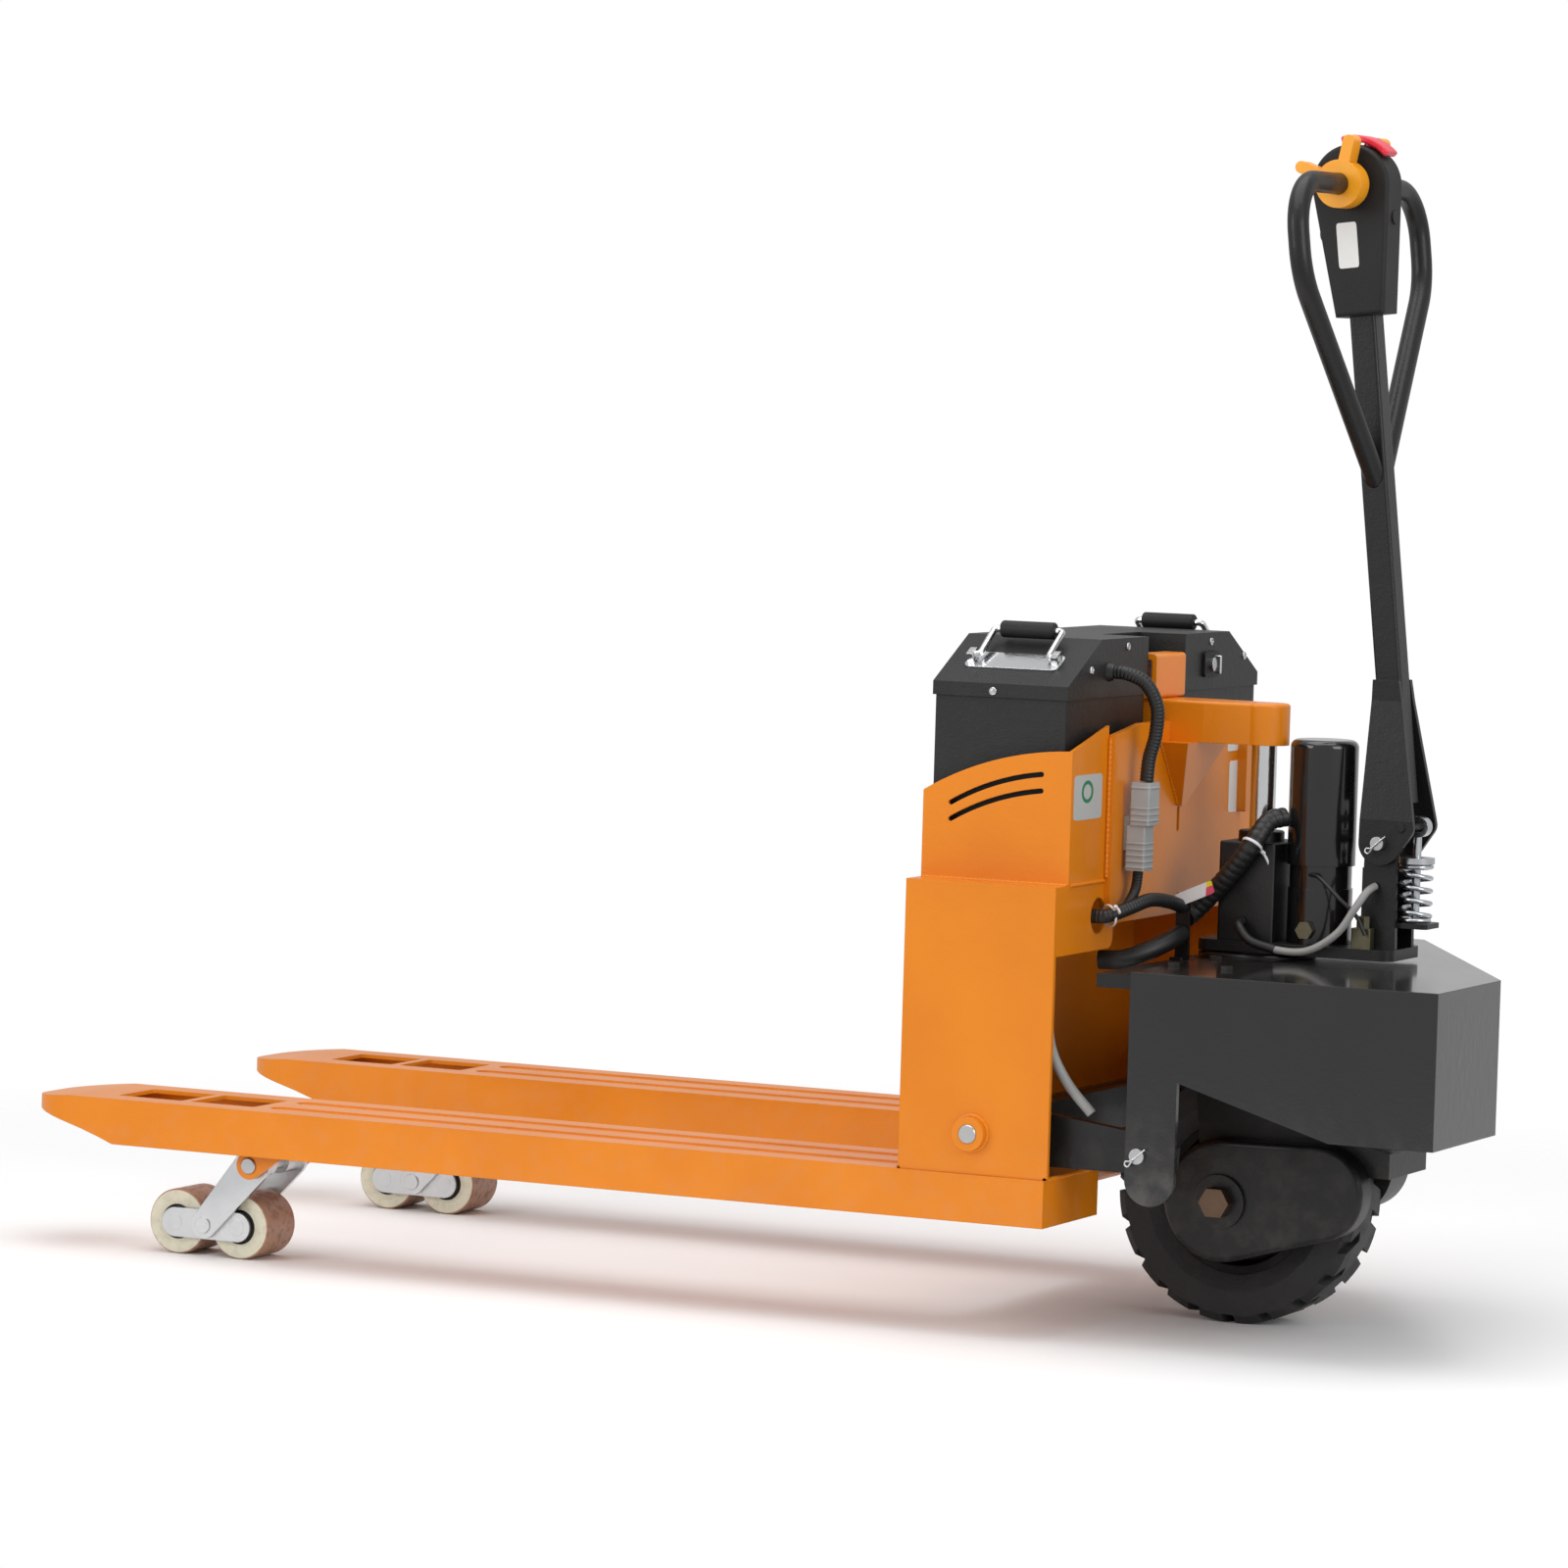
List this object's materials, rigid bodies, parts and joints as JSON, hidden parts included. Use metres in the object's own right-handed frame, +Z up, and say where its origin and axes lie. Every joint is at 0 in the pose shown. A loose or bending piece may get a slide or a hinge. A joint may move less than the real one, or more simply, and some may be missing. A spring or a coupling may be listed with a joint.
{
  "type": "electric pallet truck",
  "caption": "Pedestrian electric pallet truck with forks on load rollers, a steered drive wheel under a bumper cover, a hydraulic lift, a battery case and a tiller.",
  "frame": {"origin": "on the floor, midway along and across the truck", "axes": "+X from the fork tips to the tiller, +Z up, -Y the operator's left when facing the forks"},
  "size_m": [1.837, 0.704, 1.3977],
  "materials": {
    "orange_paint": "gloss",
    "black_paint": "satin",
    "lid_black": "satin",
    "pack_plastic": "matte",
    "chrome": "polished",
    "steel": "turned",
    "zinc": "zinc plated",
    "black_oxide": "black oxide",
    "block_black": "painted",
    "brass": "machined",
    "roller_tread": "moulded polyurethane",
    "tyre": "moulded tread",
    "rim": "painted",
    "black_plastic": "fine texture",
    "grey_plastic": "moulded",
    "amber_plastic": "moulded",
    "red_plastic": "moulded",
    "conduit": "corrugated",
    "pale_hose": "smooth"
  },
  "bodies": {
    "chassis": {"fork_left": "orange_paint", "fork_right": "orange_paint", "cross_member": "orange_paint", "head_box": "orange_paint", "battery_shroud": "orange_paint", "lift_head": "orange_paint", "piston_rod": "chrome", "battery_case": "lid_black", "battery_pack": "pack_plastic", "battery_lid": "lid_black", "handle_bases": "chrome", "key_plate": "black_plastic", "pivot_pins": "steel", "battery_cables": "conduit", "battery_connector": "grey_plastic", "main_cables": "conduit", "side_hose": "pale_hose"},
    "handle_left": {"handle_bail_left": "chrome", "handle_grip_left": "black_plastic"},
    "handle_right": {"handle_bail_right": "chrome", "handle_grip_right": "black_plastic"},
    "key": {"key_barrel": "chrome"},
    "rocker": {"rocker": "black_paint"},
    "push_rods": {"push_rods": "steel"},
    "load_leg_left": {"load_leg_left": "zinc"},
    "load_leg_right": {"load_leg_right": "zinc"},
    "bogie_left": {"bogie_left": "zinc"},
    "bogie_right": {"bogie_right": "zinc"},
    "roller_left_front": {"roller_left_front": "roller_tread"},
    "roller_left_rear": {"roller_left_rear": "roller_tread"},
    "roller_right_front": {"roller_right_front": "roller_tread"},
    "roller_right_rear": {"roller_right_rear": "roller_tread"},
    "drive_frame": {"bumper_cover": "black_paint", "bearing_frame": "black_paint", "frame_leg_pins": "steel", "cover_bolts": "black_oxide", "hose_clip": "black_oxide", "pump_cable": "conduit"},
    "steer_unit": {"steer_yoke": "black_paint", "gear_case": "black_paint", "wheel_axle": "steel", "drive_motor": "black_paint", "pump_block": "block_black", "pump_motor": "black_paint", "tiller_bracket": "black_paint", "tiller_pin": "steel", "tiller_spring": "zinc", "pump_fittings": "brass", "signal_hose": "pale_hose"},
    "drive_wheel": {"drive_tyre": "tyre", "wheel_rim": "rim"},
    "spring_rod": {"spring_rod": "zinc"},
    "tiller": {"tiller_tube": "black_paint", "handle_loop": "black_paint", "head_shell": "black_plastic"},
    "throttle": {"throttle": "amber_plastic"},
    "belly_button": {"belly_button": "red_plastic"},
    "horn_button": {"horn_button": "black_plastic"},
    "raise_button": {"raise_button": "black_plastic"},
    "lower_button": {"lower_button": "black_plastic"}
  },
  "joints": [
    {"name": "lift", "type": "slide", "parent": "chassis", "child": "drive_frame", "axis": [0, 0, 1], "range_m": [0, 0.095], "deforming": ["main_cables"]},
    {"name": "steer", "type": "hinge", "parent": "drive_frame", "child": "steer_unit", "pos_m": [0.5735, 0, 0.42], "axis": [0, 0, 1], "range_deg": [-72, 72], "deforming": ["pump_cable"]},
    {"name": "wheel_spin", "type": "hinge", "parent": "steer_unit", "child": "drive_wheel", "pos_m": [0.5735, 0, 0.15], "axis": [0, 1, 0], "continuous": true},
    {"name": "rocker_tilt", "type": "hinge", "parent": "chassis", "child": "rocker", "pos_m": [0.3615, 0, 0.237], "axis": [0, -1, 0], "range_deg": [0, 25.8], "deforming": ["side_hose"]},
    {"name": "push_rod_slide", "type": "slide", "parent": "chassis", "child": "push_rods", "axis": [1, 0, 0], "range_m": [0, 0.034]},
    {"name": "leg_swing_left", "type": "hinge", "parent": "chassis", "child": "load_leg_left", "pos_m": [-0.6075, -0.2625, 0.1196], "axis": [0, 1, 0], "range_deg": [0, 57.8]},
    {"name": "bogie_level_left", "type": "hinge", "parent": "load_leg_left", "child": "bogie_left", "pos_m": [-0.6759, -0.2625, 0.04], "axis": [0, 1, 0], "range_deg": [-57.8, 0]},
    {"name": "roller_spin_left_front", "type": "hinge", "parent": "bogie_left", "child": "roller_left_front", "pos_m": [-0.7198, -0.2625, 0.04], "axis": [0, 1, 0], "continuous": true},
    {"name": "roller_spin_left_rear", "type": "hinge", "parent": "bogie_left", "child": "roller_left_rear", "pos_m": [-0.632, -0.2625, 0.04], "axis": [0, 1, 0], "continuous": true},
    {"name": "leg_swing_right", "type": "hinge", "parent": "chassis", "child": "load_leg_right", "pos_m": [-0.6075, 0.2625, 0.1196], "axis": [0, 1, 0], "range_deg": [0, 57.8]},
    {"name": "bogie_level_right", "type": "hinge", "parent": "load_leg_right", "child": "bogie_right", "pos_m": [-0.6759, 0.2625, 0.04], "axis": [0, 1, 0], "range_deg": [-57.8, 0]},
    {"name": "roller_spin_right_front", "type": "hinge", "parent": "bogie_right", "child": "roller_right_front", "pos_m": [-0.7198, 0.2625, 0.04], "axis": [0, 1, 0], "continuous": true},
    {"name": "roller_spin_right_rear", "type": "hinge", "parent": "bogie_right", "child": "roller_right_rear", "pos_m": [-0.632, 0.2625, 0.04], "axis": [0, 1, 0], "continuous": true},
    {"name": "tiller_tilt", "type": "hinge", "parent": "steer_unit", "child": "tiller", "pos_m": [0.7365, 0, 0.577], "axis": [0, 1, 0], "range_deg": [0, 70], "stiffness_Nm_per_rad": 60, "springref_deg": -17.19, "deforming": ["tiller_spring"]},
    {"name": "spring_rod_slide", "type": "slide", "parent": "steer_unit", "child": "spring_rod", "axis": [0, 0, 1], "range_m": [-0.038, 0]},
    {"name": "throttle_twist", "type": "hinge", "parent": "tiller", "child": "throttle", "pos_m": [0.66528, 0, 1.33922], "axis": [0, 1, 0], "range_deg": [-30, 30], "stiffness_Nm_per_rad": 1.2},
    {"name": "belly_button_push", "type": "slide", "parent": "tiller", "child": "belly_button", "axis": [-0.2756, 0, -0.9613], "range_m": [0, 0.0025], "stiffness_N_per_m": 900},
    {"name": "horn_push", "type": "slide", "parent": "tiller", "child": "horn_button", "axis": [-0.9936, 0, -0.1132], "range_m": [0, 0.0015], "stiffness_N_per_m": 700},
    {"name": "raise_push", "type": "slide", "parent": "tiller", "child": "raise_button", "axis": [0.9936, 0, 0.1132], "range_m": [0, 0.002], "stiffness_N_per_m": 700},
    {"name": "lower_push", "type": "slide", "parent": "tiller", "child": "lower_button", "axis": [0.9936, 0, 0.1132], "range_m": [0, 0.002], "stiffness_N_per_m": 700},
    {"name": "handle_swing_left", "type": "hinge", "parent": "chassis", "child": "handle_left", "pos_m": [0.3595, -0.25425, 0.78398], "axis": [1, 0, 0], "range_deg": [0, 110]},
    {"name": "handle_swing_right", "type": "hinge", "parent": "chassis", "child": "handle_right", "pos_m": [0.3595, 0.25425, 0.78398], "axis": [-1, 0, 0], "range_deg": [0, 110]},
    {"name": "key_turn", "type": "hinge", "parent": "chassis", "child": "key", "pos_m": [0.4455, 0.135, 0.767], "axis": [1, 0, 0], "range_deg": [0, 90]}
  ],
  "couplings": [
    {"joint": "rocker_tilt", "follows": "lift", "rad_per_m": 4.72},
    {"joint": "push_rod_slide", "follows": "lift", "ratio": 0.352},
    {"joint": "leg_swing_left", "follows": "lift", "rad_per_m": 10.6},
    {"joint": "leg_swing_right", "follows": "lift", "rad_per_m": 10.6},
    {"joint": "bogie_level_left", "follows": "lift", "rad_per_m": -10.6},
    {"joint": "bogie_level_right", "follows": "lift", "rad_per_m": -10.6},
    {"joint": "spring_rod_slide", "follows": "tiller_tilt", "m_per_rad": -0.0302}
  ]
}
